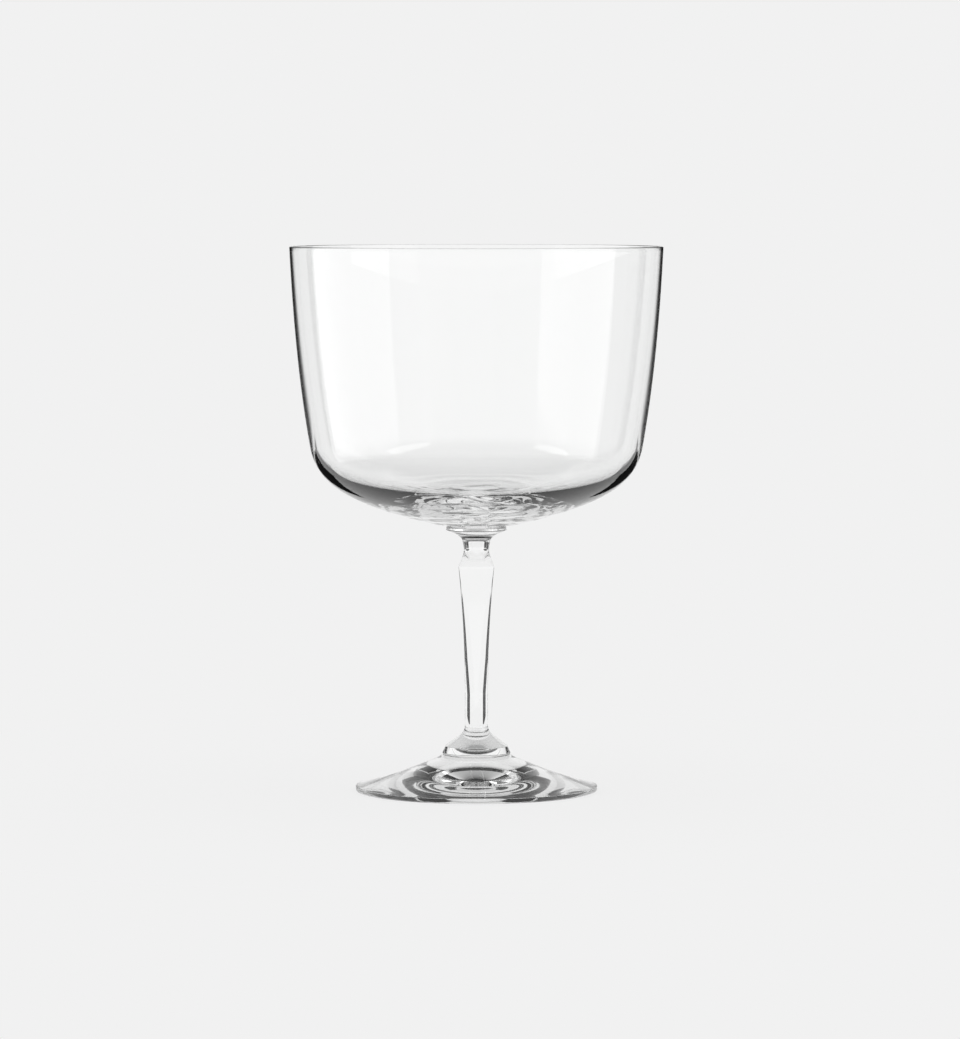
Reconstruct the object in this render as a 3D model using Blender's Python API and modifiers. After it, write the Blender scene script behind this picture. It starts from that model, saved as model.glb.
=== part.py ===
"""Stemmed ice cream glass: bowl, upper collar, stem, lower collar and foot, all in clear glass.

The five pieces are gathered or pressed one by one and fused hot, one on top of the other.
Metres, +Z up, origin on the floor under the centre of the foot. One flat of the stem faces -Y.
"""

import math

import bmesh
import bpy
from mathutils import Matrix, Vector
from mathutils.geometry import interpolate_bezier

COLLECTION_NAME = "ice_cream_glass"

# Seam left open between two fused pieces, and how round shapes are divided
FUSE_GAP = 0.0003
TURN_STEPS = 40
LONG_CURVE_POINTS = 13
SHORT_CURVE_POINTS = 7
ROUND_POINTS = 4
MERGE_DISTANCE = 0.00001
SMOOTH_ANGLE = math.radians(40.0)

# Heights of the pieces, each from its own seat to the seat of the piece above it
FOOT_HEIGHT = 0.0096
LOWER_COLLAR_HEIGHT = 0.01005
STEM_HEIGHT = 0.0546
UPPER_COLLAR_HEIGHT = 0.00465
BOWL_HEIGHT = 0.0831

# Foot: a shallow cone with an upright edge, slightly hollow underneath inside a flat resting ring
FOOT_RADIUS = 0.0360
FOOT_EDGE_THICKNESS = 0.0015
FOOT_TOP_ROUND = 0.0002
FOOT_BASE_ROUND = 0.0004
FOOT_RIM_SLOPE = math.radians(14.0)
FOOT_RIM_REACH = 0.0156
FOOT_PAD_SLOPE = math.radians(17.7)
FOOT_PAD_REACH = 0.0032
RESTING_RING_WIDTH = 0.0026
HOLLOW_DEPTH = 0.0015
HOLLOW_SLOPE = math.radians(1.15)
HOLLOW_RIM_REACH = 0.0120
HOLLOW_TOP_REACH = 0.0100

# Lower collar: a flare from the stem to a disc, with a skirt that spreads onto the foot
SKIRT_RADIUS = 0.0124
SKIRT_REACH = 0.0012
LOWER_DISC_BASE_RADIUS = 0.0102
LOWER_DISC_TOP_RADIUS = 0.0094
LOWER_DISC_BASE = 0.0018
LOWER_DISC_TOP = 0.0036
LOWER_DISC_ROUND = 0.0003
LOWER_DISC_UNDERCUT = math.radians(60.0)
FLARE_SLOPE = math.radians(38.0)
FLARE_DISC_REACH = 0.0050
FLARE_STEM_REACH = 0.0025

# Stem: round where it meets either collar, square at the shoulder just below its neck
STEM_BASE_RADIUS = 0.00345
ROUND_LENGTH = 0.0095
SHOULDER_HALF_WIDTH = 0.0053
SHOULDER_CORNER_RADIUS = 0.0003
SHOULDER_DROP = 0.0072
WAIST_RADIUS = 0.0038
WAIST_DROP = 0.0025
STEM_TOP_RADIUS = 0.0041

# Upper collar: a flare from the stem's neck to a disc under the bowl
UPPER_DISC_RADIUS = 0.0090
UPPER_DISC_THICKNESS = 0.0010
UPPER_DISC_ROUND = 0.0003
UPPER_DISC_SLOPE = math.radians(25.0)
UPPER_DISC_REACH = 0.0026
NECK_SLOPE = math.radians(86.0)
NECK_REACH = 0.0020

# Bowl: a nearly upright side, a tight hip and a shallow belly down to the upper disc
RIM_RADIUS = 0.0555
RIM_WALL = 0.0007
RIM_TAPER = math.radians(2.71)
HIP_RADIUS = 0.04944
HIP_HEIGHT = 0.02356
HIP_WALL = 0.0017
HIP_TAPER = math.radians(10.33)
SIDE_RIM_REACH = 0.0196
SIDE_HIP_REACH = 0.0186
BELLY_HIP_REACH = 0.01045
BELLY_PAD_REACH = 0.0310
BELLY_RISE = math.radians(11.77)
FLOOR_WALL = 0.0044
WALL_POWER = 1.5

# Clear soda-lime glass
GLASS_COLOUR = (0.965, 0.975, 0.97, 1.0)
GLASS_ROUGHNESS = 0.02
GLASS_INDEX = 1.52

# Seats of the stacked pieces
LOWER_COLLAR_SEAT = FOOT_HEIGHT
STEM_SEAT = LOWER_COLLAR_SEAT + LOWER_COLLAR_HEIGHT
UPPER_COLLAR_SEAT = STEM_SEAT + STEM_HEIGHT
BOWL_SEAT = UPPER_COLLAR_SEAT + UPPER_COLLAR_HEIGHT


def heading(angle):
    """Unit vector in the profile plane: 0 points away from the axis, 90 degrees points up."""
    return Vector((math.cos(angle), math.sin(angle)))


def curve(start, start_angle, start_reach, end, end_angle, end_reach, count):
    """Points on a smooth curve that leaves start and reaches end along the given headings."""
    start, end = Vector(start), Vector(end)
    first_handle = start + heading(start_angle) * start_reach
    last_handle = end - heading(end_angle) * end_reach
    points = interpolate_bezier(
        start.to_3d(), first_handle.to_3d(), last_handle.to_3d(), end.to_3d(), count
    )
    return [point.to_2d() for point in points]


def arc(centre, radius, start_angle, end_angle, count=ROUND_POINTS):
    """Points on a circular arc."""
    span = end_angle - start_angle
    angles = [start_angle + span * step / (count - 1) for step in range(count)]
    return [Vector(centre) + heading(angle) * radius for angle in angles]


def half_turn(start, end, count):
    """Points on the half circle that leads clockwise from start to end."""
    centre = (start + end) / 2.0
    arm = start - centre
    turns = [Matrix.Rotation(-math.pi * step / (count - 1), 2) for step in range(count)]
    return [centre + turn @ arm for turn in turns]


def glass_material(name):
    """Clear glass for one piece."""
    material = bpy.data.materials.new(name)
    material.use_nodes = True
    shader = material.node_tree.nodes["Principled BSDF"]
    shader.inputs["Base Color"].default_value = GLASS_COLOUR
    shader.inputs["Metallic"].default_value = 0.0
    shader.inputs["Roughness"].default_value = GLASS_ROUGHNESS
    shader.inputs["IOR"].default_value = GLASS_INDEX
    shader.inputs["Transmission Weight"].default_value = 1.0
    return material


def add_piece(name, mesh, seat, collection):
    """Places a mesh as a named piece of the glass, with its own material."""
    mesh.materials.append(glass_material(name + "_glass"))
    piece = bpy.data.objects.new(name, mesh)
    piece.location.z = seat
    collection.objects.link(piece)
    return piece


def turned_piece(name, profile, seat, collection):
    """Turns a profile about the Z axis. It starts and ends on the axis, outer side going down."""
    mesh = bpy.data.meshes.new(name)
    edges = [(step, step + 1) for step in range(len(profile) - 1)]
    mesh.from_pydata([(radius, 0.0, height) for radius, height in profile], edges, [])
    piece = add_piece(name, mesh, seat, collection)
    screw = piece.modifiers.new("turn", "SCREW")
    screw.axis = "Z"
    screw.steps = TURN_STEPS
    screw.render_steps = TURN_STEPS
    screw.use_merge_vertices = True
    screw.merge_threshold = MERGE_DISTANCE
    screw.use_smooth_shade = True
    return piece


def foot_profile():
    """Foot, from the pad under the lower collar round the edge to the top of the hollow."""
    pad_height = FOOT_HEIGHT - FUSE_GAP
    top_centre = (FOOT_RADIUS - FOOT_TOP_ROUND, FOOT_EDGE_THICKNESS - FOOT_TOP_ROUND)
    base_centre = (FOOT_RADIUS - FOOT_BASE_ROUND, FOOT_BASE_ROUND)
    edge_top = arc(top_centre, FOOT_TOP_ROUND, math.pi / 2 - FOOT_RIM_SLOPE, 0.0)
    edge_base = arc(base_centre, FOOT_BASE_ROUND, 0.0, -math.pi / 2)
    cone = curve(
        (SKIRT_RADIUS, pad_height), -FOOT_PAD_SLOPE, FOOT_PAD_REACH,
        edge_top[0], -FOOT_RIM_SLOPE, FOOT_RIM_REACH, LONG_CURVE_POINTS,
    )
    ring_inner = Vector((edge_base[-1].x - RESTING_RING_WIDTH, 0.0))
    hollow = curve(
        ring_inner, math.pi - HOLLOW_SLOPE, HOLLOW_RIM_REACH,
        (0.0, HOLLOW_DEPTH), math.pi, HOLLOW_TOP_REACH, LONG_CURVE_POINTS,
    )
    return [Vector((0.0, pad_height))] + cone + edge_top[1:] + edge_base + hollow


def lower_collar_profile():
    """Lower collar, from the seam under the stem down the flare and the skirt to the foot."""
    top = LOWER_COLLAR_HEIGHT - FUSE_GAP
    disc_top = Vector((LOWER_DISC_TOP_RADIUS, LOWER_DISC_TOP))
    disc_base = Vector((LOWER_DISC_BASE_RADIUS, LOWER_DISC_BASE))
    edge_angle = math.atan2(disc_base.y - disc_top.y, disc_base.x - disc_top.x) + math.pi / 2
    inset = heading(edge_angle) * LOWER_DISC_ROUND
    shoulder = arc(disc_top - inset, LOWER_DISC_ROUND, math.pi / 2 - FLARE_SLOPE, edge_angle)
    lip = arc(disc_base - inset, LOWER_DISC_ROUND, edge_angle, -LOWER_DISC_UNDERCUT)
    flare = curve(
        (STEM_BASE_RADIUS, top), -math.pi / 2, FLARE_STEM_REACH,
        shoulder[0], -FLARE_SLOPE, FLARE_DISC_REACH, LONG_CURVE_POINTS,
    )
    skirt = curve(
        lip[-1], -math.pi / 2 - LOWER_DISC_UNDERCUT, LOWER_DISC_ROUND,
        (SKIRT_RADIUS, 0.0), -FOOT_PAD_SLOPE, SKIRT_REACH, SHORT_CURVE_POINTS,
    )
    return [Vector((0.0, top))] + flare + shoulder[1:] + lip + skirt[1:] + [Vector((0.0, 0.0))]


def upper_collar_profile():
    """Upper collar, from the seam under the bowl round the disc and down the flare to the neck."""
    top = UPPER_COLLAR_HEIGHT - FUSE_GAP
    disc_base = top - UPPER_DISC_THICKNESS
    round_radius = UPPER_DISC_RADIUS - UPPER_DISC_ROUND
    disc_top = arc((round_radius, top - UPPER_DISC_ROUND), UPPER_DISC_ROUND, math.pi / 2, 0.0)
    disc_bottom = arc(
        (round_radius, disc_base + UPPER_DISC_ROUND), UPPER_DISC_ROUND,
        0.0, UPPER_DISC_SLOPE - math.pi / 2,
    )
    flare = curve(
        disc_bottom[-1], math.pi + UPPER_DISC_SLOPE, UPPER_DISC_REACH,
        (STEM_TOP_RADIUS, 0.0), math.pi + NECK_SLOPE, NECK_REACH, SHORT_CURVE_POINTS,
    )
    rim = disc_top + disc_bottom + flare[1:]
    return [Vector((0.0, top))] + rim + [Vector((0.0, 0.0))]


def bowl_outside():
    """Outer line of the bowl from the rim to its seat, with the wall thickness at each point."""
    rim = Vector((RIM_RADIUS, BOWL_HEIGHT - RIM_WALL * (1.0 + math.sin(RIM_TAPER)) / 2.0))
    hip = Vector((HIP_RADIUS, HIP_HEIGHT))
    side = curve(
        rim, -math.pi / 2 - RIM_TAPER, SIDE_RIM_REACH,
        hip, -math.pi / 2 - HIP_TAPER, SIDE_HIP_REACH, LONG_CURVE_POINTS,
    )
    belly = curve(
        hip, -math.pi / 2 - HIP_TAPER, BELLY_HIP_REACH,
        (UPPER_DISC_RADIUS, 0.0), math.pi + BELLY_RISE, BELLY_PAD_REACH, LONG_CURVE_POINTS,
    )
    last = LONG_CURVE_POINTS - 1
    side_walls = [RIM_WALL + (HIP_WALL - RIM_WALL) * step / last for step in range(last + 1)]
    belly_walls = [
        HIP_WALL + (FLOOR_WALL - HIP_WALL) * (step / last) ** WALL_POWER for step in range(last + 1)
    ]
    return side + belly[1:], side_walls + belly_walls[1:]


def offset_inward(line, walls):
    """Moves each point of a line that runs down the outer side by its wall thickness, inward."""
    moved = []
    for index, (point, wall) in enumerate(zip(line, walls)):
        before = line[max(index - 1, 0)]
        after = line[min(index + 1, len(line) - 1)]
        along = (after - before).normalized()
        moved.append(point + Vector((along.y, -along.x)) * wall)
    return moved


def bowl_profile():
    """Bowl, from the middle of its floor up the inside, over the rim and down the outside."""
    outside, walls = bowl_outside()
    inside = offset_inward(outside, walls)
    floor_edge = inside[-1]
    floor_sag = floor_edge.x * math.tan(BELLY_RISE) / 2.0
    floor = curve(
        (0.0, floor_edge.y - floor_sag), 0.0, floor_edge.x / 3.0,
        floor_edge, BELLY_RISE, floor_edge.x / 3.0, SHORT_CURVE_POINTS,
    )
    rim = half_turn(inside[0], outside[0], SHORT_CURVE_POINTS)
    return floor + inside[-2::-1] + rim[1:-1] + outside + [Vector((0.0, 0.0))]


def stem_sections():
    """Height, half width and corner radius of each level of the stem, from its base up."""
    top = STEM_HEIGHT - FUSE_GAP
    shoulder = STEM_HEIGHT - SHOULDER_DROP
    waist = STEM_HEIGHT - WAIST_DROP
    sections = [(0.0, STEM_BASE_RADIUS, STEM_BASE_RADIUS)]
    for step in range(LONG_CURVE_POINTS):
        share = step / (LONG_CURVE_POINTS - 1)
        half = STEM_BASE_RADIUS + (SHOULDER_HALF_WIDTH - STEM_BASE_RADIUS) * share ** 2
        corner = half + (SHOULDER_CORNER_RADIUS - half) * share
        sections.append((ROUND_LENGTH + (shoulder - ROUND_LENGTH) * share, half, corner))
    for step in range(1, SHORT_CURVE_POINTS):
        share = step / (SHORT_CURVE_POINTS - 1)
        half = WAIST_RADIUS + (SHOULDER_HALF_WIDTH - WAIST_RADIUS) * (1.0 - share) ** 1.5
        corner = SHOULDER_CORNER_RADIUS + (half - SHOULDER_CORNER_RADIUS) * share
        sections.append((shoulder + (waist - shoulder) * share, half, corner))
    for step in range(1, ROUND_POINTS):
        share = step / (ROUND_POINTS - 1)
        half = WAIST_RADIUS + (STEM_TOP_RADIUS - WAIST_RADIUS) * share ** 2
        sections.append((waist + (top - waist) * share, half, half))
    return sections


def rounded_square_reach(angle, half, corner):
    """Distance from the axis to a rounded square's outline, in the direction of an angle."""
    quarter = math.pi / 2
    folded = abs((angle + quarter / 2) % quarter - quarter / 2)
    flat = half - corner
    if half * math.tan(folded) <= flat:
        return half / math.cos(folded)
    middle = flat * (math.cos(folded) + math.sin(folded))
    return middle + math.sqrt(max(middle ** 2 - 2.0 * flat ** 2 + corner ** 2, 0.0))


def stem_mesh():
    """Lofts the stem through its sections, which change from round to square and back."""
    form = bmesh.new()
    rings = []
    for height, half, corner in stem_sections():
        ring = []
        for step in range(TURN_STEPS):
            angle = 2.0 * math.pi * step / TURN_STEPS
            reach = rounded_square_reach(angle, half, corner)
            ring.append(form.verts.new((reach * math.cos(angle), reach * math.sin(angle), height)))
        rings.append(ring)
    for below, above in zip(rings, rings[1:]):
        for step in range(TURN_STEPS):
            following = (step + 1) % TURN_STEPS
            form.faces.new((below[step], below[following], above[following], above[step]))
    form.faces.new(reversed(rings[0]))
    form.faces.new(rings[-1])
    mesh = bpy.data.meshes.new("stem")
    form.to_mesh(mesh)
    form.free()
    mesh.shade_smooth()
    mesh.set_sharp_from_angle(angle=SMOOTH_ANGLE)
    return mesh


def main():
    """Clears the scene and builds the five pieces of the glass."""
    for item in list(bpy.data.objects):
        bpy.data.objects.remove(item, do_unlink=True)
    collection = bpy.data.collections.new(COLLECTION_NAME)
    bpy.context.scene.collection.children.link(collection)
    turned_piece("foot", foot_profile(), 0.0, collection)
    turned_piece("lower_collar", lower_collar_profile(), LOWER_COLLAR_SEAT, collection)
    add_piece("stem", stem_mesh(), STEM_SEAT, collection)
    turned_piece("upper_collar", upper_collar_profile(), UPPER_COLLAR_SEAT, collection)
    turned_piece("bowl", bowl_profile(), BOWL_SEAT, collection)


main()
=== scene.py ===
"""Studio scene of a stemmed ice cream glass: bowl, upper collar, stem, lower collar and foot.

Metres, +Z up. The glass stands on z = 0 with its axis on Z, and the camera looks along +Y.
"""

import logging
import math
from abc import ABC, abstractmethod
from dataclasses import dataclass
from enum import Enum, IntEnum
from typing import Union

import bmesh
import bpy
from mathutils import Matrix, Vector, noise
from mathutils.geometry import interpolate_bezier


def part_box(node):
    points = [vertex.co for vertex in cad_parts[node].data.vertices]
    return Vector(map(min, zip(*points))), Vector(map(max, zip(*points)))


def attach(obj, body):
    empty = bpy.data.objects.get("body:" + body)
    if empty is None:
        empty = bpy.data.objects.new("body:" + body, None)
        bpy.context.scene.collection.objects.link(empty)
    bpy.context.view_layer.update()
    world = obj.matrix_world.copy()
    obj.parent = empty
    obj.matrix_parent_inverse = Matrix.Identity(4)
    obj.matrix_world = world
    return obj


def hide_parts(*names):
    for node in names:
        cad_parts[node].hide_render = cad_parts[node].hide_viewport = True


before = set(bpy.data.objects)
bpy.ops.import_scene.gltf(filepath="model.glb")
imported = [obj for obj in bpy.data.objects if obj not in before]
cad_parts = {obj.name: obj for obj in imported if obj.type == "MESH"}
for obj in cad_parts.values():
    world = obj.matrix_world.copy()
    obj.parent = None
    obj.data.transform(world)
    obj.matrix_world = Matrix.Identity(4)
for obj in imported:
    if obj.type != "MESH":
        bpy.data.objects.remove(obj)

LOG = logging.getLogger("ice_cream_glass")
BODY = "root"

Colour = tuple[float, float, float, float]
Source = Union[bpy.types.NodeSocket, Colour, float]

# Points on a whole turn, on long, short and small round curves and on short flat lines
TURN_STEPS = 256
LONG_CURVE = 56
SHORT_CURVE = 20
ROUND_CURVE = 8
FLAT_LINE = 2

# Points this close are one, and faces that meet at less than this angle are smooth
MERGE_DISTANCE = 1e-7
SMOOTH_ANGLE = math.radians(35.0)

# How far the rim stays below the top of the frame
ROOM_INSIDE = 5e-6

# How far off a seam's faces may be, how upright their normals are, and their material slot
SEAM_TOLERANCE = 1e-6
SEAM_FLATNESS = 0.999
SEAM_SLOT = 1

# Radii of the stem where it meets the lower and the upper collar
STEM_BASE_RADIUS = 0.00345
STEM_TOP_RADIUS = 0.0041

# Headings in the plane of radius and height
OUT = 0.0
UP = math.pi / 2
IN = math.pi
DOWN = -math.pi / 2
FULL_TURN = 2.0 * math.pi

# A panel is one unit wide and high before it is scaled
HALF_PANEL = 0.5

# Numbers of faces are whole, so half a face tells one from the next
HALF_FACE = 0.5

# What the ray depth counts in the world on top of the faces met
IN_WORLD = 1


class End(Enum):
    """The two ends of a piece."""

    BASE = "base"
    TOP = "top"


class Faces(IntEnum):
    """How many faces of glass light meets on its usual ways through the glass."""

    ONE_WALL = 2
    TWO_WALLS = 4
    BACK_MIRROR = 5


@dataclass(frozen=True)
class Seam:
    """A flat round face where two pieces of glass are fused.

    Attributes:
        height: Height of the face, halfway across the gap between the two solids.
        radius: Radius of the face.
    """

    height: float
    radius: float

    @classmethod
    def between(cls, below: str, above: str, radius: float) -> "Seam":
        """Finds the seam between two neighbouring nodes of the frame.

        Args:
            below: Name of the lower node.
            above: Name of the upper node.
            radius: Radius of the fused face.

        Returns:
            The seam at the middle of the gap between them.
        """
        gap_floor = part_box(below)[1].z
        gap_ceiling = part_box(above)[0].z
        return cls((gap_floor + gap_ceiling) / 2.0, radius)


@dataclass
class Profile:
    """A line in the plane of radius and height, drawn point by point.

    Attributes:
        points: The points drawn so far, as radius and height.
    """

    points: list[Vector]

    def line_to(self, radius: float, height: float, count: int) -> None:
        """Adds evenly spaced points on a straight line from the last point.

        Args:
            radius: Radius of the end of the line.
            height: Height of the end of the line.
            count: Number of points to add.
        """
        start = self.points[-1]
        end = Vector((radius, height))
        self.points += [start.lerp(end, step / count) for step in range(1, count + 1)]

    def curve_to(
        self, end: Vector, leave: float, leave_reach: float, arrive: float, arrive_reach: float, count: int
    ) -> None:
        """Adds a smooth curve from the last point.

        Args:
            end: Radius and height of the end of the curve.
            leave: Heading at the start, 0 for away from the axis and 90 degrees for up, in radians.
            leave_reach: How far the curve holds on to that heading.
            arrive: Heading at the end, in radians.
            arrive_reach: How far ahead the curve turns to that heading.
            count: Number of points on the curve.
        """
        start = self.points[-1]
        first_handle = start + self.heading(leave) * leave_reach
        last_handle = end - self.heading(arrive) * arrive_reach
        line = interpolate_bezier(
            start.to_3d(), first_handle.to_3d(), last_handle.to_3d(), end.to_3d(), count
        )
        self.points += [point.to_2d() for point in line[1:]]

    def arc(self, centre: Vector, size: float, start: float, end: float, count: int) -> None:
        """Adds a circular arc, whose first point takes the place of a last point that it falls on.

        Args:
            centre: Radius and height of the arc's centre.
            size: The arc's own radius.
            start: Angle of its first point, in radians.
            end: Angle of its last point, in radians.
            count: Number of points on it.
        """
        angles = [start + (end - start) * step / (count - 1) for step in range(count)]
        points = [centre + self.heading(angle) * size for angle in angles]
        if (self.points[-1] - points[0]).length < MERGE_DISTANCE:
            self.points.pop()
        self.points += points

    @staticmethod
    def heading(angle: float) -> Vector:
        """Unit vector at an angle from the direction away from the axis."""
        return Vector((math.cos(angle), math.sin(angle)))


class Bench:
    """Hand tools for meshes, which work with Blender's own operators."""

    @staticmethod
    def deselect() -> None:
        """Leaves no object selected."""
        bpy.ops.object.select_all(action="DESELECT")

    @classmethod
    def turn(cls, profile: Profile) -> bpy.types.Object:
        """Draws a profile by extruding one vertex along it, and turns it about the Z axis.

        Args:
            profile: A line that starts and ends on the axis.

        Returns:
            The turned piece, closed, with its faces pointing outwards.
        """
        cls.deselect()
        first = profile.points[0]
        bpy.ops.mesh.primitive_plane_add(size=MERGE_DISTANCE, location=(first.x, 0.0, first.y))
        piece = bpy.context.object
        bpy.ops.object.transform_apply(location=True)
        bpy.ops.object.mode_set(mode="EDIT")
        bpy.ops.mesh.select_mode(type="VERT")
        bpy.ops.mesh.select_all(action="SELECT")
        bpy.ops.mesh.merge(type="CENTER")
        for start, end in zip(profile.points, profile.points[1:]):
            move = (end.x - start.x, 0.0, end.y - start.y)
            bpy.ops.mesh.extrude_region_move(TRANSFORM_OT_translate={"value": move})
        bpy.ops.object.mode_set(mode="OBJECT")
        screw = piece.modifiers.new("turn", "SCREW")
        screw.axis = "Z"
        screw.steps = TURN_STEPS
        screw.render_steps = TURN_STEPS
        bpy.ops.object.modifier_apply(modifier=screw.name)
        cls.close()
        return piece

    @staticmethod
    def close() -> None:
        """Merges the active object's doubled points, turns its faces out and smooths its soft edges."""
        bpy.ops.object.mode_set(mode="EDIT")
        bpy.ops.mesh.select_all(action="SELECT")
        bpy.ops.mesh.remove_doubles(threshold=MERGE_DISTANCE)
        bpy.ops.mesh.normals_make_consistent(inside=False)
        bpy.ops.object.mode_set(mode="OBJECT")
        bpy.ops.object.shade_smooth_by_angle(angle=SMOOTH_ANGLE)

    @classmethod
    def stack(cls, sections: list["Section"], corner_steps: int) -> bpy.types.Object:
        """Bridges a stack of rounded squares, each a plane with its corners bevelled.

        Args:
            sections: The squares, from the base up.
            corner_steps: Number of segments in each rounded corner.

        Returns:
            The piece, closed at both ends, with its faces pointing outwards.
        """
        cls.deselect()
        # An emptied plane is the mesh that the squares are added to
        bpy.ops.mesh.primitive_plane_add(location=(0.0, 0.0, 0.0))
        piece = bpy.context.object
        bpy.ops.object.mode_set(mode="EDIT")
        bpy.ops.mesh.select_mode(type="VERT")
        bpy.ops.mesh.delete(type="VERT")
        for section in sections:
            bpy.ops.mesh.primitive_plane_add(
                size=2.0 * section.half_width, location=(0.0, 0.0, section.height)
            )
            bpy.ops.mesh.bevel(
                offset=section.corner, segments=corner_steps, affect="VERTICES", offset_type="OFFSET"
            )
        bpy.ops.mesh.select_all(action="SELECT")
        bpy.ops.mesh.delete(type="ONLY_FACE")
        bpy.ops.mesh.select_mode(type="EDGE")
        bpy.ops.mesh.select_all(action="SELECT")
        bpy.ops.mesh.bridge_edge_loops()
        bpy.ops.mesh.select_all(action="DESELECT")
        bpy.ops.mesh.select_non_manifold()
        bpy.ops.mesh.fill_holes(sides=0)
        bpy.ops.object.mode_set(mode="OBJECT")
        cls.close()
        return piece

    @classmethod
    def give_to_seam(cls, piece: bpy.types.Object, seam: Seam) -> None:
        """Gives the flat faces of a seam their material slot, and keeps the edge round them sharp.

        Args:
            piece: The piece whose faces are meant.
            seam: Where the faces are.
        """
        cls.deselect()
        piece.select_set(True)
        bpy.context.view_layer.objects.active = piece
        bpy.ops.object.mode_set(mode="EDIT")
        bpy.ops.mesh.select_mode(type="FACE")
        bpy.ops.mesh.select_all(action="DESELECT")
        form = bmesh.from_edit_mesh(piece.data)
        for face in form.faces:
            middle = face.calc_center_median()
            level = abs(middle.z - seam.height) < SEAM_TOLERANCE and abs(face.normal.z) > SEAM_FLATNESS
            face.select_set(level and middle.to_2d().length < seam.radius)
        bmesh.update_edit_mesh(piece.data)
        piece.active_material_index = SEAM_SLOT
        bpy.ops.object.material_slot_assign()
        bpy.ops.mesh.region_to_loop()
        bpy.ops.mesh.mark_sharp()
        bpy.ops.object.mode_set(mode="OBJECT")


class NodeSketch:
    """Adds and joins the nodes of one node tree."""

    # Places of a mix node's colours, which share their names with its numbers and vectors
    FIRST_COLOUR = 6
    SECOND_COLOUR = 7
    MIXED_COLOUR = 2

    def __init__(self, tree: bpy.types.NodeTree) -> None:
        """Starts from an empty tree."""
        self.tree = tree
        self.tree.nodes.clear()

    @classmethod
    def of_material(cls, name: str) -> tuple[bpy.types.Material, "NodeSketch", bpy.types.NodeSocket]:
        """Adds a material.

        Args:
            name: Name of the material.

        Returns:
            The material, the sketch of its nodes and the socket of its surface.
        """
        material = bpy.data.materials.new(name)
        material.use_nodes = True
        sketch = cls(material.node_tree)
        return material, sketch, sketch.add("ShaderNodeOutputMaterial").inputs["Surface"]

    def add(self, kind: str, **settings: object) -> bpy.types.Node:
        """Adds a node.

        Args:
            kind: The node's type name.
            **settings: Properties of the node to set.

        Returns:
            The new node.
        """
        node = self.tree.nodes.new(kind)
        for name, value in settings.items():
            setattr(node, name, value)
        return node

    def feed(self, socket: bpy.types.NodeSocket, source: Source) -> None:
        """Links a socket to a node's output, or sets its value.

        Args:
            socket: The socket.
            source: The output or the value.
        """
        if isinstance(source, bpy.types.NodeSocket):
            self.tree.links.new(source, socket)
        else:
            socket.default_value = source

    def wire(self, kind: str, *sources: Source, **settings: object) -> bpy.types.NodeSocket:
        """Adds a node and feeds its inputs in order.

        Args:
            kind: The node's type name.
            *sources: A number, a colour or an output for each input.
            **settings: Properties of the node to set.

        Returns:
            The node's first output.
        """
        node = self.add(kind, **settings)
        for socket, source in zip(node.inputs, sources):
            self.feed(socket, source)
        return node.outputs[0]

    def math(self, operation: str, *values: Source) -> bpy.types.NodeSocket:
        """Output of a math node with these values, each a number or an output."""
        return self.wire("ShaderNodeMath", *values, operation=operation)

    def blend(self, share: Source, first: Source, second: Source) -> bpy.types.NodeSocket:
        """Adds a mix of two colours.

        Args:
            share: Share of the second colour.
            first: The first colour.
            second: The second colour.

        Returns:
            The mixed colour.
        """
        node = self.add("ShaderNodeMix", data_type="RGBA")
        self.feed(node.inputs["Factor"], share)
        self.feed(node.inputs[self.FIRST_COLOUR], first)
        self.feed(node.inputs[self.SECOND_COLOUR], second)
        return node.outputs[self.MIXED_COLOUR]

    def met(self, rays: bpy.types.Node, *depths: int) -> bpy.types.NodeSocket:
        """Tells light by its ray depth, which on a surface is the number of glass faces that it met.

        Args:
            rays: Light Path node.
            *depths: The ray depths that are meant.

        Returns:
            Socket that is 1 for light with one of these depths and 0 for any other.
        """
        found = 0.0
        for depth in depths:
            same = self.math("COMPARE", rays.outputs["Ray Depth"], float(depth), HALF_FACE)
            found = self.math("MAXIMUM", found, same)
        return found

    def straight_through(self, rays: bpy.types.Node, beyond: int = 0) -> bpy.types.NodeSocket:
        """Tells a ray that went straight through one wall of glass or two.

        Args:
            rays: Light Path node.
            beyond: What the ray depth counts on top of the faces met.

        Returns:
            Socket that is 1 for such a ray and 0 for any other.
        """
        walls = self.met(rays, Faces.ONE_WALL + beyond, Faces.TWO_WALLS + beyond)
        return self.math("MULTIPLY", walls, rays.outputs["Is Transmission Ray"])

    def ramp(self, value: Source, low: float, high: float) -> bpy.types.NodeSocket:
        """Smooth step of a value, from 0 at low to 1 at high."""
        return self.wire("ShaderNodeMapRange", value, low, high, interpolation_type="SMOOTHSTEP")


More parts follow.
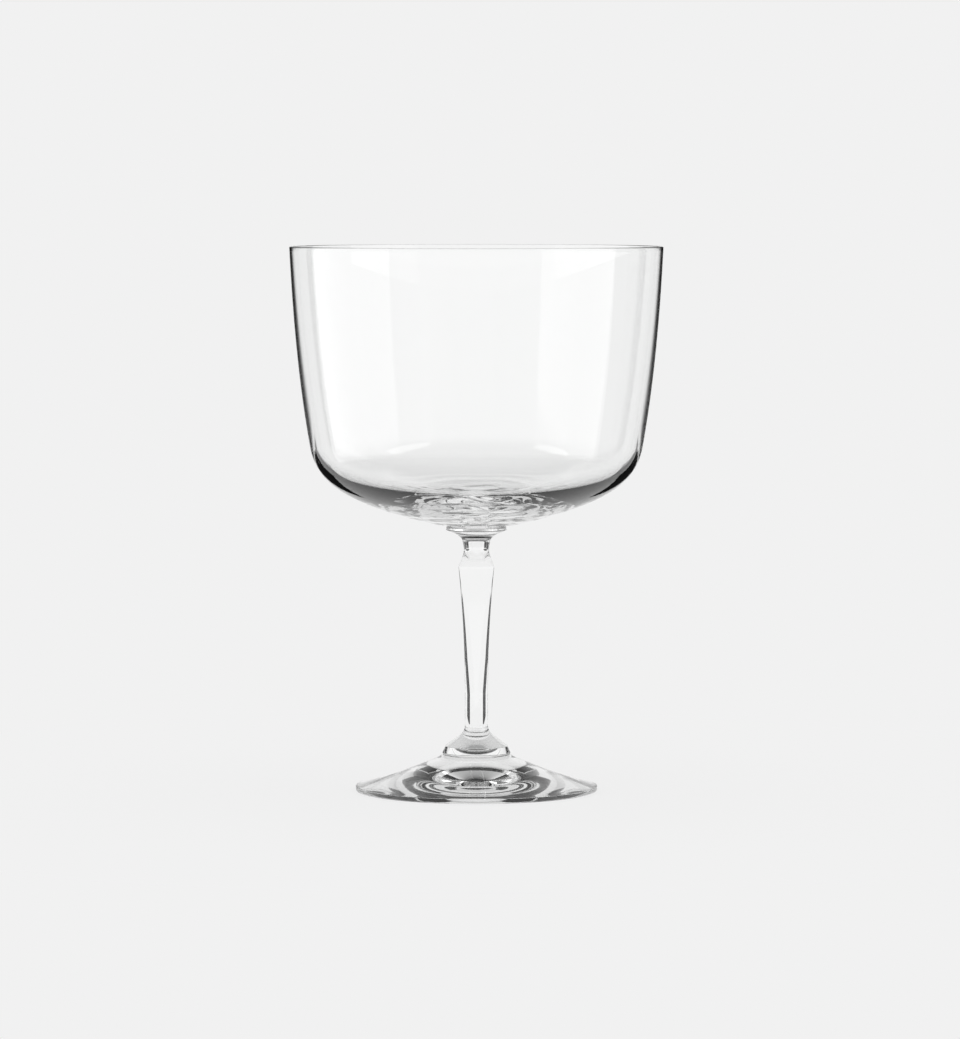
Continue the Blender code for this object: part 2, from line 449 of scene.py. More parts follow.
class FlowLines:
    """The faint waves and the uneven polish that hot glass keeps, as a node group for every finish."""

    NAME = "flow_lines"
    WAVE_DETAIL = 1.0
    POLISH_DETAIL = 3.0
    POLISH_FINENESS = 4.0

    @classmethod
    def group(cls) -> bpy.types.NodeTree:
        """Gives the group, which is built the first time.

        Returns:
            The group, which all finishes share.
        """
        made = bpy.data.node_groups.get(cls.NAME)
        if made:
            return made
        tree = bpy.data.node_groups.new(cls.NAME, "ShaderNodeTree")
        sketch = NodeSketch(tree)
        for way, kind, names in (
            ("INPUT", "NodeSocketFloat", ("Scale", "Stretch", "Least Roughness", "Most Roughness")),
            ("INPUT", "NodeSocketColor", ("Clear Tint", "Deep Tint")),
            ("OUTPUT", "NodeSocketColor", ("Tint",)),
            ("OUTPUT", "NodeSocketFloat", ("Roughness", "Height")),
        ):
            for name in names:
                tree.interface.new_socket(name, in_out=way, socket_type=kind)
        inner = sketch.add("NodeGroupInput")
        outer = sketch.add("NodeGroupOutput")
        place = sketch.add("ShaderNodeTexCoord")
        stretch = sketch.wire("ShaderNodeCombineXYZ", 1.0, 1.0, inner.outputs["Stretch"])
        spread = sketch.wire("ShaderNodeVectorMath", place.outputs["Object"], stretch, operation="MULTIPLY")
        # A noise takes its place, an unused fourth coordinate, its scale and its detail
        waves = sketch.wire("ShaderNodeTexNoise", spread, 0.0, inner.outputs["Scale"], cls.WAVE_DETAIL)
        fine = sketch.math("MULTIPLY", inner.outputs["Scale"], cls.POLISH_FINENESS)
        polish = sketch.wire("ShaderNodeTexNoise", place.outputs["Object"], 0.0, fine, cls.POLISH_DETAIL)
        limits = (inner.outputs["Least Roughness"], inner.outputs["Most Roughness"])
        rough = sketch.wire("ShaderNodeMapRange", polish, 0.0, 1.0, *limits)
        tint = sketch.blend(waves, inner.outputs["Clear Tint"], inner.outputs["Deep Tint"])
        sketch.feed(outer.inputs["Tint"], tint)
        sketch.feed(outer.inputs["Roughness"], rough)
        sketch.feed(outer.inputs["Height"], waves)
        return tree


@dataclass(frozen=True)
class GlassFinish:
    """Clear soda-lime glass as one way of working leaves it.

    Attributes:
        name: Name of the material.
        scale: How close together the flow lines are, per metre.
        stretch: How close they are along the axis, as a share of that.
        wave_height: Height of the flow lines, in metres.
        least_roughness: Roughness where the polish is best.
        most_roughness: Roughness where it is worst.
        clear_tint: Tint of the clearest glass.
        deep_tint: Tint of the least clear glass.
        index: Refractive index.
    """

    name: str
    scale: float
    stretch: float
    wave_height: float
    least_roughness: float = 0.02
    most_roughness: float = 0.03
    clear_tint: Colour = (1.0, 1.0, 1.0, 1.0)
    deep_tint: Colour = (0.985, 0.99, 0.987, 1.0)
    index: float = 1.52

    def material(self) -> bpy.types.Material:
        """Builds the material.

        Returns:
            A new material with this finish.
        """
        material, sketch, surface = NodeSketch.of_material(self.name)
        shader = sketch.add("ShaderNodeBsdfPrincipled")
        shader.inputs["Metallic"].default_value = 0.0
        shader.inputs["IOR"].default_value = self.index
        shader.inputs["Transmission Weight"].default_value = 1.0
        lines = sketch.add("ShaderNodeGroup", node_tree=FlowLines.group())
        for socket, value in (
            ("Scale", self.scale), ("Stretch", self.stretch),
            ("Least Roughness", self.least_roughness), ("Most Roughness", self.most_roughness),
            ("Clear Tint", self.clear_tint), ("Deep Tint", self.deep_tint),
        ):
            lines.inputs[socket].default_value = value
        bump = sketch.add("ShaderNodeBump")
        bump.inputs["Distance"].default_value = self.wave_height
        sketch.feed(bump.inputs["Height"], lines.outputs["Height"])
        sketch.feed(shader.inputs["Base Color"], lines.outputs["Tint"])
        sketch.feed(shader.inputs["Roughness"], lines.outputs["Roughness"])
        sketch.feed(shader.inputs["Normal"], bump.outputs["Normal"])
        sketch.feed(surface, shader.outputs["BSDF"])
        return material


@dataclass(frozen=True)
class FusedFace:
    """The inside of a fused seam, where glass goes on into glass and nothing shows."""

    name: str = "fused_seam"

    def material(self) -> bpy.types.Material:
        """Gives the material, which is built the first time.

        Returns:
            The material that all seams share.
        """
        made = bpy.data.materials.get(self.name)
        if made:
            return made
        material, sketch, surface = NodeSketch.of_material(self.name)
        sketch.feed(surface, sketch.wire("ShaderNodeBsdfTransparent"))
        return material


@dataclass
class Piece(ABC):
    """One piece of glass that stands for one node of the frame.

    Attributes:
        node: Name of the node.
        finish: How its glass looks.
        seams: The seams at its ends, if any.
    """

    node: str
    finish: GlassFinish
    seams: dict[End, Seam]

    @property
    def radius(self) -> float:
        """Largest radius of the node in the frame."""
        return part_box(self.node)[1].x

    @abstractmethod
    def build(self) -> bpy.types.Object:
        """Makes the mesh of the piece."""

    def dress(self, piece: bpy.types.Object) -> None:
        """Gives the piece its glass, and its seams their fused faces.

        Args:
            piece: The built mesh.
        """
        piece.data.materials.append(self.finish.material())
        piece.data.materials.append(FusedFace().material())
        for seam in self.seams.values():
            Bench.give_to_seam(piece, seam)

    def place(self) -> bpy.types.Object:
        """Builds and dresses the piece, and ties it to the frame.

        Returns:
            The finished piece.
        """
        piece = self.build()
        piece.name = self.node + "_glass"
        piece.data.name = piece.name
        self.dress(piece)
        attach(piece, BODY)
        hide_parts(self.node)
        return piece


@dataclass
class Foot(Piece):
    """The foot: a shallow cone with an upright edge, hollow underneath inside a flat resting ring."""

    edge_thickness: float = 0.0015
    edge_top_round: float = 0.00015
    edge_base_round: float = 0.0004
    rim_slope: float = math.radians(14.0)
    rim_reach: float = 0.0156
    pad_slope: float = math.radians(17.7)
    pad_reach: float = 0.0032
    resting_ring_width: float = 0.0026
    hollow_depth: float = 0.0015
    hollow_slope: float = math.radians(1.15)
    hollow_rim_reach: float = 0.0120
    hollow_top_reach: float = 0.0100

    def build(self) -> bpy.types.Object:
        """Turns the foot from the pad round the edge to the top of the hollow.

        Returns:
            The mesh of the foot.
        """
        pad = self.seams[End.TOP]
        corner = Vector((self.radius - self.edge_top_round, self.edge_thickness - self.edge_top_round))
        lip = corner + Profile.heading(UP - self.rim_slope) * self.edge_top_round
        base = Vector((self.radius - self.edge_base_round, self.edge_base_round))
        profile = Profile([Vector((0.0, pad.height))])
        profile.line_to(pad.radius, pad.height, ROUND_CURVE)
        profile.curve_to(lip, -self.pad_slope, self.pad_reach, -self.rim_slope, self.rim_reach, LONG_CURVE)
        profile.arc(corner, self.edge_top_round, UP - self.rim_slope, OUT, ROUND_CURVE)
        profile.arc(base, self.edge_base_round, OUT, DOWN, ROUND_CURVE)
        profile.line_to(base.x - self.resting_ring_width, 0.0, FLAT_LINE)
        profile.curve_to(
            Vector((0.0, self.hollow_depth)), IN - self.hollow_slope, self.hollow_rim_reach,
            IN, self.hollow_top_reach, LONG_CURVE,
        )
        return Bench.turn(profile)


@dataclass
class LowerCollar(Piece):
    """The lower collar: a flare from the stem to a disc, with a skirt that spreads onto the foot."""

    skirt_reach: float = 0.0012
    skirt_slope: float = math.radians(17.7)
    disc_base_radius: float = 0.0102
    disc_top_radius: float = 0.0094
    disc_base: float = 0.0018
    disc_top: float = 0.0036
    disc_round: float = 0.0003
    undercut: float = math.radians(60.0)
    flare_slope: float = math.radians(38.0)
    flare_disc_reach: float = 0.0050
    flare_stem_reach: float = 0.0025

    def build(self) -> bpy.types.Object:
        """Turns the collar from the seam under the stem down to the foot.

        Returns:
            The mesh of the collar.
        """
        stem = self.seams[End.TOP]
        foot = self.seams[End.BASE]
        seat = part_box(self.node)[0].z
        upper = Vector((self.disc_top_radius, seat + self.disc_top))
        lower = Vector((self.disc_base_radius, seat + self.disc_base))
        drop = math.atan2(lower.y - upper.y, lower.x - upper.x)
        upper -= Profile.heading(drop + UP) * self.disc_round
        lower -= Profile.heading(drop + UP) * self.disc_round
        lip = upper + Profile.heading(UP - self.flare_slope) * self.disc_round
        profile = Profile([Vector((0.0, stem.height))])
        profile.line_to(stem.radius, stem.height, FLAT_LINE)
        profile.curve_to(
            lip, DOWN, self.flare_stem_reach, -self.flare_slope, self.flare_disc_reach, LONG_CURVE
        )
        profile.arc(upper, self.disc_round, UP - self.flare_slope, drop + UP, ROUND_CURVE)
        profile.arc(lower, self.disc_round, drop + UP, -self.undercut, ROUND_CURVE)
        profile.curve_to(
            Vector((foot.radius, foot.height)), DOWN - self.undercut, self.disc_round,
            -self.skirt_slope, self.skirt_reach, SHORT_CURVE,
        )
        profile.line_to(0.0, foot.height, ROUND_CURVE)
        return Bench.turn(profile)


@dataclass(frozen=True)
class Section:
    """One level of the stem: a square with rounded corners.

    Attributes:
        height: Height of the level.
        half_width: Half the width of the square.
        corner: Radius of its corners.
    """

    height: float
    half_width: float
    corner: float


@dataclass
class Stem(Piece):
    """The stem: round where it meets either collar, square at the shoulder just below its neck."""

    round_length: float = 0.0095
    shoulder_corner: float = 0.0003
    shoulder_drop: float = 0.0072
    waist_radius: float = 0.0038
    waist_drop: float = 0.0025
    roundest: float = 0.995
    corner_steps: int = 20
    taper_power: float = 2.0
    neck_power: float = 1.5

    def level(self, height: float, half_width: float, corner: float) -> Section:
        """One level, whose corners stay just short of meeting."""
        return Section(height, half_width, min(corner, half_width * self.roundest))

    def sections(self) -> list[Section]:
        """Works out the levels of the stem.

        Returns:
            The levels from the base up.
        """
        base = self.seams[End.BASE]
        top = self.seams[End.TOP]
        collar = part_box("upper_collar")[0].z
        foot_of_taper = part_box(self.node)[0].z + self.round_length
        shoulder = collar - self.shoulder_drop
        waist = collar - self.waist_drop
        widest = self.radius
        levels = [self.level(base.height, base.radius, base.radius)]
        for step in range(LONG_CURVE):
            share = step / (LONG_CURVE - 1)
            half = base.radius + (widest - base.radius) * share ** self.taper_power
            corner = half + (self.shoulder_corner - half) * share
            levels.append(self.level(foot_of_taper + (shoulder - foot_of_taper) * share, half, corner))
        for step in range(1, SHORT_CURVE):
            share = step / (SHORT_CURVE - 1)
            half = self.waist_radius + (widest - self.waist_radius) * (1.0 - share) ** self.neck_power
            corner = self.shoulder_corner + (half - self.shoulder_corner) * share
            levels.append(self.level(shoulder + (waist - shoulder) * share, half, corner))
        for step in range(1, ROUND_CURVE):
            share = step / (ROUND_CURVE - 1)
            half = self.waist_radius + (top.radius - self.waist_radius) * share ** self.taper_power
            levels.append(self.level(waist + (top.height - waist) * share, half, half))
        return levels

    def build(self) -> bpy.types.Object:
        """Bridges the levels from the lower collar up to the upper one."""
        return Bench.stack(self.sections(), self.corner_steps)


@dataclass
class UpperCollar(Piece):
    """The upper collar: a flare from the stem's neck to a disc under the bowl."""

    disc_thickness: float = 0.0011
    disc_round: float = 0.0003
    disc_slope: float = math.radians(25.0)
    disc_reach: float = 0.0026
    neck_slope: float = math.radians(86.0)
    neck_reach: float = 0.0020

    def build(self) -> bpy.types.Object:
        """Turns the collar from the seam under the bowl down to the seam over the stem.

        Returns:
            The mesh of the collar.
        """
        bowl = self.seams[End.TOP]
        stem = self.seams[End.BASE]
        corner = self.radius - self.disc_round
        upper = Vector((corner, bowl.height - self.disc_round))
        lower = Vector((corner, bowl.height - self.disc_thickness + self.disc_round))
        profile = Profile([Vector((0.0, bowl.height))])
        profile.line_to(bowl.radius, bowl.height, ROUND_CURVE)
        profile.arc(upper, self.disc_round, UP, OUT, ROUND_CURVE)
        profile.arc(lower, self.disc_round, OUT, self.disc_slope - UP, ROUND_CURVE)
        profile.curve_to(
            Vector((stem.radius, stem.height)), IN + self.disc_slope, self.disc_reach,
            IN + self.neck_slope, self.neck_reach, SHORT_CURVE,
        )
        profile.line_to(0.0, stem.height, FLAT_LINE)
        return Bench.turn(profile)


@dataclass
class Bowl(Piece):
    """The bowl: a nearly upright side, a tight hip, a shallow belly and a thick, faintly rippled floor."""

    rim_wall: float = 0.0007
    rim_taper: float = math.radians(2.71)
    hip_radius: float = 0.04944
    hip_height: float = 0.02356
    hip_wall: float = 0.0017
    hip_taper: float = math.radians(10.33)
    side_rim_reach: float = 0.0196
    side_hip_reach: float = 0.0186
    belly_hip_reach: float = 0.01045
    belly_pad_reach: float = 0.0310
    belly_rise: float = math.radians(11.77)
    floor_wall: float = 0.0044
    wall_power: float = 1.5
    ripple_inside: float = 0.0003
    ripple_under: float = 0.00015
    ripple_length: float = 0.0080
    ripple_reach: float = 0.0340
    ripple_patch: float = 0.0120
    ripple_stray: float = 0.5

    def outside(self) -> tuple[list[Vector], list[float]]:
        """Draws the outer line.

        Returns:
            Its points from the rim down to the seam, and the wall's thickness at each of them.
        """
        seat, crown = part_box(self.node)
        pad = self.seams[End.BASE]
        hip = Vector((self.hip_radius, seat.z + self.hip_height))
        rim_round = self.rim_wall * (1.0 + math.sin(self.rim_taper)) / 2.0
        line = Profile([Vector((self.radius, crown.z - rim_round - ROOM_INSIDE))])
        line.curve_to(
            hip, DOWN - self.rim_taper, self.side_rim_reach, DOWN - self.hip_taper,
            self.side_hip_reach, LONG_CURVE,
        )
        line.curve_to(
            Vector((pad.radius, pad.height)), DOWN - self.hip_taper, self.belly_hip_reach,
            IN + self.belly_rise, self.belly_pad_reach, LONG_CURVE,
        )
        last = LONG_CURVE - 1
        side = [self.rim_wall + (self.hip_wall - self.rim_wall) * step / last for step in range(last)]
        gain = self.floor_wall - self.hip_wall
        belly = [self.hip_wall + gain * (step / last) ** self.wall_power for step in range(last + 1)]
        return line.points, side + belly

    def inside(self, outside: list[Vector], walls: list[float]) -> list[Vector]:
        """Draws the inner line, one wall's thickness inside the outer one.

        Args:
            outside: Points of the outer line, from the rim down.
            walls: Thickness of the wall at each of them.

        Returns:
            Points of the inner line, from the rim down.
        """
        line = []
        for index, (point, wall) in enumerate(zip(outside, walls)):
            before = outside[max(index - 1, 0)]
            after = outside[min(index + 1, len(outside) - 1)]
            along = (after - before).normalized()
            line.append(point + Vector((along.y, -along.x)) * wall)
        return line

    def ripple(self, piece: bpy.types.Object) -> None:
        """Gives the floor, inside and underneath, the uneven rings that it set in.

        Args:
            piece: The turned bowl.
        """
        pad = self.seams[End.BASE]
        faces_up = [vertex.normal.z > 0.0 for vertex in piece.data.vertices]
        for vertex, inner in zip(piece.data.vertices, faces_up):
            reach = vertex.co.to_2d().length
            height = self.ripple_inside
            if not inner:
                height = self.ripple_under * min(1.0, max(0.0, reach - pad.radius) / pad.radius)
            height *= max(0.0, 1.0 - reach / self.ripple_reach)
            stray = noise.noise(vertex.co / self.ripple_patch) * self.ripple_stray
            vertex.co.z += height * math.cos(FULL_TURN * (reach / self.ripple_length + stray))

    def build(self) -> bpy.types.Object:
        """Turns the bowl from the middle of its floor up the inside, over the rim and down the outside.

        Returns:
            The mesh of the bowl.
        """
        outside, walls = self.outside()
        inside = self.inside(outside, walls)
        edge = inside[-1]
        sag = edge.x * math.tan(self.belly_rise) / 2.0
        handle = edge.x / 3.0
        floor = Profile([Vector((0.0, edge.y - sag))])
        floor.curve_to(edge, OUT, handle, self.belly_rise, handle, LONG_CURVE)
        profile = Profile(floor.points + inside[-2::-1])
        middle = (inside[0] + outside[0]) / 2.0
        arm = (outside[0] - inside[0]) / 2.0
        start = math.atan2(-arm.y, -arm.x) % FULL_TURN
        profile.arc(middle, arm.length, start, start - math.pi, 2 * ROUND_CURVE)
        profile.points += outside[1:]
        profile.line_to(0.0, self.seams[End.BASE].height, ROUND_CURVE)
        piece = Bench.turn(profile)
        self.ripple(piece)
        return piece


@dataclass(frozen=True)
class PhotoCamera:
    """The camera, set up so that the glass stands in its frame as in the photograph.

    Attributes:
        frame_height: Height of the photograph, in pixels.
        axis_column: Column of the axis of the glass.
        middle_column: Middle column of the photograph.
        base_row: Row of the foot's underside.
        middle_row: Middle row of the photograph.
        glass_rows: Height of the glass in the photograph, in pixels.
        distance: Distance of the camera from the axis.
        height: Height of the camera.
        sensor: Length of the sensor's long side, in millimetres.
        farthest: How far the camera sees.
    """

    frame_height: float = 1039.0
    axis_column: float = 476.4
    middle_column: float = 480.0
    base_row: float = 791.3
    middle_row: float = 519.5
    glass_rows: float = 544.7
    distance: float = 1.535
    height: float = 0.180
    sensor: float = 36.0
    farthest: float = 100.0

    def place(self) -> None:
        """Adds the camera and makes it the scene's own."""
        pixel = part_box("bowl")[1].z / self.glass_rows
        side = (self.middle_column - self.axis_column) * pixel
        aim = Vector((side, 0.0, (self.base_row - self.middle_row) * pixel))
        eye = Vector((side, -self.distance, self.height))
        data = bpy.data.cameras.new("camera")
        data.sensor_width = self.sensor
        data.lens = self.sensor * (aim - eye).length / (self.frame_height * pixel)
        data.clip_end = self.farthest
        camera = bpy.data.objects.new("camera", data)
        camera.location = eye
        camera.rotation_euler = (aim - eye).to_track_quat("-Z", "Y").to_euler()
        bpy.context.scene.collection.objects.link(camera)
        bpy.context.scene.camera = camera


class Sight(Enum):
    """Which light meets a panel."""

    NOT_STRAIGHT = "all but a look straight through the bowl"
    NOT_BOWL = "all but light out of the bowl"
    FRONT_FACES = "all but a look straight through the glass or into the mirror of its back wall"


@dataclass(frozen=True)
class Panel:
    """An upright panel beside or behind the glass: a softbox or a black flag.

    Attributes:
        name: Name of the panel.
        near: X and Y of one upright edge.
        far: X and Y of the other upright edge.
        bottom: Height of the lower edge.
        top: Height of the upper edge.
        radiance: How bright it is, where 1 is white.
        fade: Share of its height over which the lower and upper ends fade out.
        near_fade: Share of its width over which the near edge fades out.
        far_fade: Share of its width over which the far edge fades out.
        sight: Which light meets it.
        least_faces: How many faces of glass light has to meet on its way.
        painted_deep_shade: Share of its brightness taken away as painted shade for light that met many
            faces.
        deep_steps: Numbers of faces between which that painted shade sets in.
    """

    name: str
    near: tuple[float, float]
    far: tuple[float, float]
    bottom: float
    top: float
    radiance: float
    fade: float
    near_fade: float = 0.0
    far_fade: float = 0.0
    sight: Sight = Sight.NOT_STRAIGHT
    least_faces: int = 0
    painted_deep_shade: float = 0.0
    deep_steps: tuple[float, float] = (6.3, 7.3)

    def place(self) -> None:
        """Adds the panel, which shows only in the glass and through it."""
        Bench.deselect()
        run = Vector(self.far) - Vector(self.near)
        middle = (Vector(self.near) + Vector(self.far)) / 2.0
        bpy.ops.mesh.primitive_plane_add(
            size=1.0, location=(middle.x, middle.y, (self.bottom + self.top) / 2.0),
            rotation=(UP, 0.0, math.atan2(run.y, run.x)),
        )
        panel = bpy.context.object
        panel.name = self.name
        panel.scale = (run.length, self.top - self.bottom, 1.0)
        panel.data.materials.append(self.material())
        panel.visible_camera = False
        panel.visible_diffuse = False
        panel.visible_shadow = False

    def material(self) -> bpy.types.Material:
        """Builds the panel's light, which fades at its ends and is clear to light that passes it by.

        Returns:
            A new material.
        """
        material, sketch, surface = NodeSketch.of_material(self.name)
        rays = sketch.add("ShaderNodeLightPath")
        depth = rays.outputs["Ray Depth"]
        light = sketch.add("ShaderNodeEmission")
        light.inputs["Strength"].default_value = self.radiance
        # Painted shade: the panel is dimmer to light that met many faces of glass
        if self.painted_deep_shade:
            deep = sketch.ramp(depth, *self.deep_steps)
            painted_shade = sketch.math("MULTIPLY", deep, self.painted_deep_shade * self.radiance)
            sketch.feed(light.inputs["Strength"], sketch.math("SUBTRACT", self.radiance, painted_shade))
        place = sketch.add("ShaderNodeTexCoord")
        split = sketch.add("ShaderNodeSeparateXYZ")
        sketch.feed(split.inputs["Vector"], place.outputs["Object"])
        from_end = sketch.math("SUBTRACT", HALF_PANEL, sketch.math("ABSOLUTE", split.outputs["Y"]))
        strength = sketch.ramp(from_end, 0.0, self.fade)
        for share, side in ((self.near_fade, 1.0), (self.far_fade, -1.0)):
            if share:
                inwards = sketch.math("MULTIPLY_ADD", split.outputs["X"], side, HALF_PANEL)
                strength = sketch.math("MULTIPLY", strength, sketch.ramp(inwards, 0.0, share))
        # Only the bowl's faces are perfectly smooth, which makes its rays singular
        hidden = rays.outputs["Is Singular Ray"]
        if self.sight is Sight.FRONT_FACES:
            mirrored_behind = sketch.met(rays, Faces.BACK_MIRROR)
            hidden = sketch.math("MAXIMUM", sketch.straight_through(rays), mirrored_behind)
        elif self.sight is Sight.NOT_STRAIGHT:
            hidden = sketch.math("MULTIPLY", hidden, sketch.straight_through(rays))
        strength = sketch.math("MULTIPLY", strength, sketch.math("SUBTRACT", 1.0, hidden))
        if self.least_faces:
            enough = sketch.math("GREATER_THAN", depth, self.least_faces - HALF_FACE)
            strength = sketch.math("MULTIPLY", strength, enough)
        clear = sketch.wire("ShaderNodeBsdfTransparent")
        sketch.feed(surface, sketch.wire("ShaderNodeMixShader", strength, clear, light.outputs["Emission"]))
        return material


@dataclass(frozen=True)
class Studio:
    """The pale room round the glass: backdrop, floor and panels.

    Attributes:
        backdrop: Radiance of the backdrop and of the floor.
        front: Radiance of the room behind the camera.
        front_span: Y of the directions between which the backdrop changes to that.
        overhead: Radiance straight above.
        overhead_span: Z of the directions between which the room darkens to that.
        floor_radius: Radius of the round floor.
        floor_drop: Gap between the floor and the foot.
        floor_paint: Share of light that its paint gives back.
        under_foot: Radiance of the floor that is seen through the foot.
        under_reach: Radii between which that changes to the backdrop's.
        painted_contact_shadow: Radiance of the painted contact shadow on the floor under the foot, for light
            that met some faces of glass.
        deep_faces: The numbers of those faces.
        painted_deep_shade: Share of the room's light taken away as painted shade for light that met many
            faces.
        deep_steps: Ray depths between which that painted shade sets in, one more than the faces.
        soft_light: Radiance of the room as it lights the floor.
        shadow_share: How much of the glass's shadow the floor shows close to the foot.
        shadow_span: Shares of the floor's radius between which that fades out.
        softbox: Radiance of the softboxes.
        black: Radiance of the black flags.
        most_faces: How many faces of glass light is followed through.
        most_mirrors: How many of them may mirror it.
    """

    backdrop: float = 0.88
    front: float = 1.38
    front_span: tuple[float, float] = (-0.1, -0.7)
    overhead: float = 0.04
    overhead_span: tuple[float, float] = (0.25, 0.7)
    floor_radius: float = 0.25
    floor_drop: float = 0.0001
    floor_paint: float = 0.9
    under_foot: float = 0.9
    under_reach: tuple[float, float] = (0.037, 0.045)
    painted_contact_shadow: float = 0.05
    deep_faces: tuple[int, int] = (5, 6)
    painted_deep_shade: float = 0.25
    deep_steps: tuple[float, float] = (5.3, 7.3)
    soft_light: float = 0.978
    shadow_share: float = 0.12
    shadow_span: tuple[float, float] = (0.2, 0.9)
    softbox: float = 1.9
    black: float = 0.02
    most_faces: int = 32
    most_mirrors: int = 16

    def panels(self) -> list[Panel]:
        """Lists the two softboxes and, on either side, the four black flags behind the glass.

        Returns:
            The ten panels.
        """
        panels = [
            Panel(
                name, near, far, bottom=-0.22, top=0.9, radiance=self.softbox, fade=0.08,
                sight=Sight.FRONT_FACES, painted_deep_shade=0.7,
            )
            for name, near, far in (
                ("left_softbox", (-0.60, 0.306), (-0.60, -0.446)),
                ("right_softbox", (0.60, -0.730), (0.60, 0.011)),
            )
        ]
        for name, side in (("left", -1.0), ("right", 1.0)):
            panels += [
                Panel(
                    name + "_stem_flag", near=(0.075 * side, 0.168), far=(0.150 * side, 0.168),
                    bottom=-0.05, top=0.072, radiance=self.black, fade=0.02,
                ),
                Panel(
                    name + "_bowl_flag", near=(0.078 * side, 0.168), far=(0.160 * side, 0.168),
                    bottom=0.075, top=0.26, radiance=self.black, fade=0.02, near_fade=0.08, far_fade=0.6,
                ),
                Panel(
                    name + "_foot_flag", near=(0.386 * side, 0.460), far=(0.530 * side, 0.282),
                    bottom=0.01, top=0.33, radiance=self.black, fade=0.04, sight=Sight.NOT_BOWL,
                ),
                Panel(
                    name + "_edge_flag", near=(0.135 * side, 0.585), far=(0.386 * side, 0.460),
                    bottom=-0.06, top=0.33, radiance=self.black, fade=0.04, sight=Sight.NOT_BOWL,
                    least_faces=5,
                ),
            ]
        return panels

    def place_room(self) -> None:
        """Lights the scene from the world, and shows the backdrop to the camera and the glass."""
        world = bpy.data.worlds.new("room")
        world.use_nodes = True
        bpy.context.scene.world = world
        sketch = NodeSketch(world.node_tree)
        output = sketch.add("ShaderNodeOutputWorld")
        rays = sketch.add("ShaderNodeLightPath")
        place = sketch.add("ShaderNodeTexCoord")
        split = sketch.add("ShaderNodeSeparateXYZ")
        sketch.feed(split.inputs["Vector"], place.outputs["Generated"])
        # A look straight through the glass from behind sees the front as plain as the backdrop
        turned = sketch.math("SUBTRACT", 1.0, sketch.straight_through(rays, IN_WORLD))
        forward = sketch.math("MULTIPLY", sketch.ramp(split.outputs["Y"], *self.front_span), turned)
        walls = sketch.blend(forward, self.grey(self.backdrop), self.grey(self.front))
        above = sketch.ramp(split.outputs["Z"], *self.overhead_span)
        room = sketch.blend(above, walls, self.grey(self.overhead))
        # Painted shade: the room is darker to light that met many faces of glass
        deep = sketch.ramp(rays.outputs["Ray Depth"], *self.deep_steps)
        room = sketch.blend(sketch.math("MULTIPLY", deep, self.painted_deep_shade), room, self.grey(0.0))
        shown = sketch.blend(rays.outputs["Is Camera Ray"], room, self.grey(self.backdrop))
        shown = sketch.blend(rays.outputs["Is Diffuse Ray"], shown, self.grey(self.soft_light))
        sketch.feed(output.inputs["Surface"], sketch.wire("ShaderNodeBackground", shown))

    def place_floor(self) -> None:
        """Adds the round floor."""
        Bench.deselect()
        bpy.ops.mesh.primitive_circle_add(
            vertices=TURN_STEPS, radius=self.floor_radius, fill_type="NGON",
            location=(0.0, 0.0, -self.floor_drop),
        )
        floor = bpy.context.object
        floor.name = "floor"
        floor.data.materials.append(self.floor_material())

    def floor_material(self) -> bpy.types.Material:
        """Builds the floor's paint, whose shadow fades out before its edge, with a painted contact shadow
        under the foot that shows only to light that met some faces of glass.

        Returns:
            A new material.
        """
        material, sketch, surface = NodeSketch.of_material("pale_floor")
        paint = sketch.wire("ShaderNodeBsdfDiffuse", self.grey(self.floor_paint))
        rays = sketch.add("ShaderNodeLightPath")
        straight = rays.outputs["Is Camera Ray"]
        place = sketch.add("ShaderNodeTexCoord")
        reach = sketch.add("ShaderNodeVectorMath", operation="LENGTH")
        sketch.feed(reach.inputs[0], place.outputs["Object"])
        outwards = sketch.ramp(reach.outputs["Value"], *self.under_reach)
        # Painted contact shadow: the floor under the foot is dark to light that met some faces of glass
        deep = sketch.met(rays, *self.deep_faces)
        under = sketch.blend(deep, self.grey(self.under_foot), self.grey(self.painted_contact_shadow))
        under = sketch.blend(outwards, under, self.grey(self.backdrop))
        even = sketch.wire("ShaderNodeEmission", sketch.blend(straight, under, self.grey(self.backdrop)))
        inner, outer = (self.floor_radius * share for share in self.shadow_span)
        fade = sketch.ramp(reach.outputs["Value"], inner, outer)
        evenness = sketch.math("MULTIPLY_ADD", fade, self.shadow_share, 1.0 - self.shadow_share)
        seen = sketch.math("MAXIMUM", straight, rays.outputs["Is Glossy Ray"])
        seen = sketch.math("MAXIMUM", seen, rays.outputs["Is Transmission Ray"])
        share = sketch.math("MULTIPLY", seen, evenness)
        sketch.feed(surface, sketch.wire("ShaderNodeMixShader", share, paint, even))
        return material

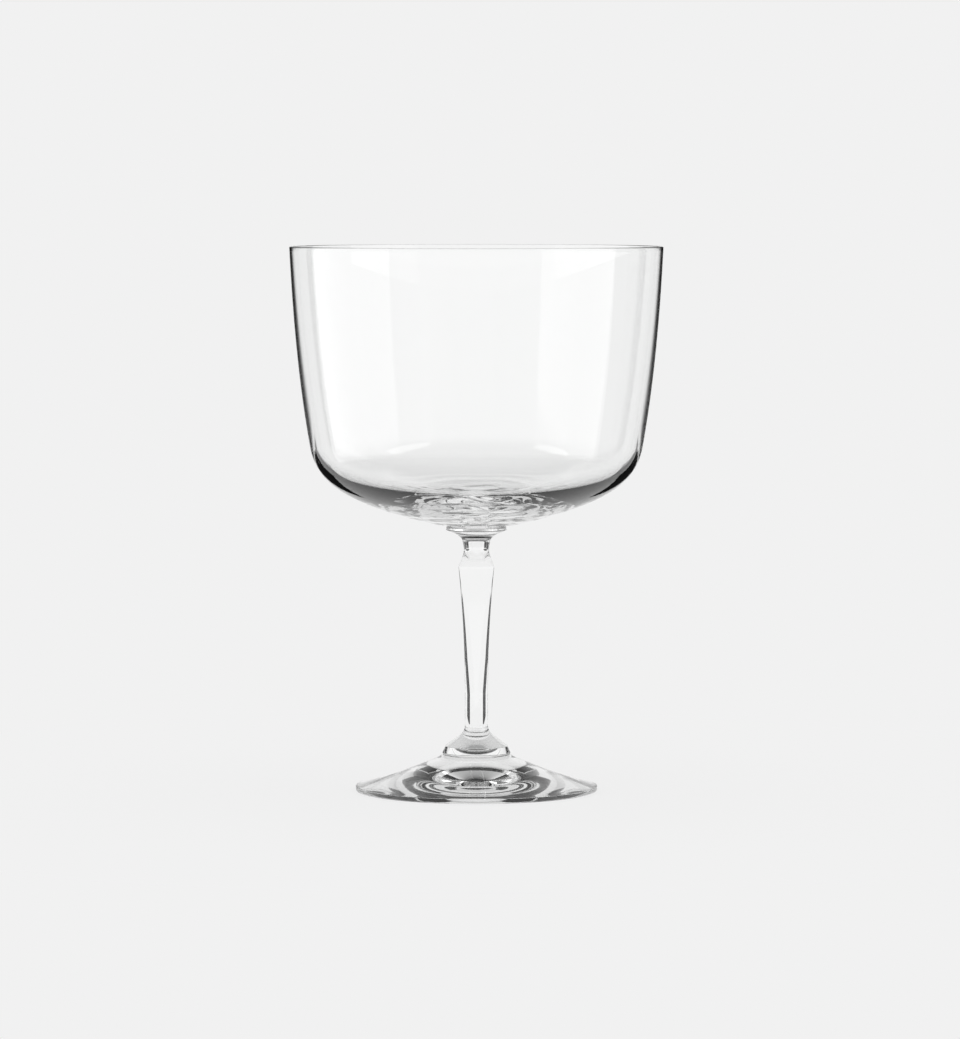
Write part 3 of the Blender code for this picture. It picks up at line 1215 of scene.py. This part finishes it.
    def set_light_paths(self) -> None:
        """Lets light pass through as many walls of glass as the eye can follow."""
        scene = bpy.context.scene
        scene.view_settings.view_transform = "Standard"
        scene.cycles.max_bounces = self.most_faces
        scene.cycles.transmission_bounces = self.most_faces
        scene.cycles.glossy_bounces = self.most_mirrors
        scene.cycles.transparent_max_bounces = self.most_faces

    def place(self) -> None:
        """Builds the whole studio."""
        self.set_light_paths()
        self.place_room()
        self.place_floor()
        for panel in self.panels():
            panel.place()

    @staticmethod
    def grey(value: float) -> Colour:
        """A grey of that value."""
        return (value, value, value, 1.0)


def glass_pieces() -> list[Piece]:
    """Lists the five pieces of the glass, from the foot up.

    Returns:
        The pieces, each with its finish and its seams.
    """
    foot_seam = Seam.between("foot", "lower_collar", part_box("lower_collar")[1].x)
    lower_seam = Seam.between("lower_collar", "stem", STEM_BASE_RADIUS)
    upper_seam = Seam.between("stem", "upper_collar", STEM_TOP_RADIUS)
    bowl_seam = Seam.between("upper_collar", "bowl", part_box("upper_collar")[1].x - UpperCollar.disc_round)
    blown = GlassFinish(
        "blown_glass", scale=18.0, stretch=0.35, wave_height=0.00001, least_roughness=0.0, most_roughness=0.0
    )
    pressed = GlassFinish("pressed_glass", scale=40.0, stretch=0.5, wave_height=0.00002)
    spun = GlassFinish("spun_glass", scale=30.0, stretch=1.0, wave_height=0.00003)
    return [
        Foot("foot", spun, {End.TOP: foot_seam}),
        LowerCollar("lower_collar", pressed, {End.BASE: foot_seam, End.TOP: lower_seam}),
        Stem("stem", pressed, {End.BASE: lower_seam, End.TOP: upper_seam}),
        UpperCollar("upper_collar", pressed, {End.BASE: upper_seam, End.TOP: bowl_seam}),
        Bowl("bowl", blown, {End.BASE: bowl_seam}),
    ]


def main() -> None:
    """Builds the glass round the frame, and the studio round the glass."""
    logging.basicConfig(level=logging.INFO, format="%(message)s")
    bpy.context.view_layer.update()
    for piece in glass_pieces():
        glass = piece.place()
        LOG.info("%s: %d faces", glass.name, len(glass.data.polygons))
    PhotoCamera().place()
    Studio().place()


if __name__ == "__main__":
    main()
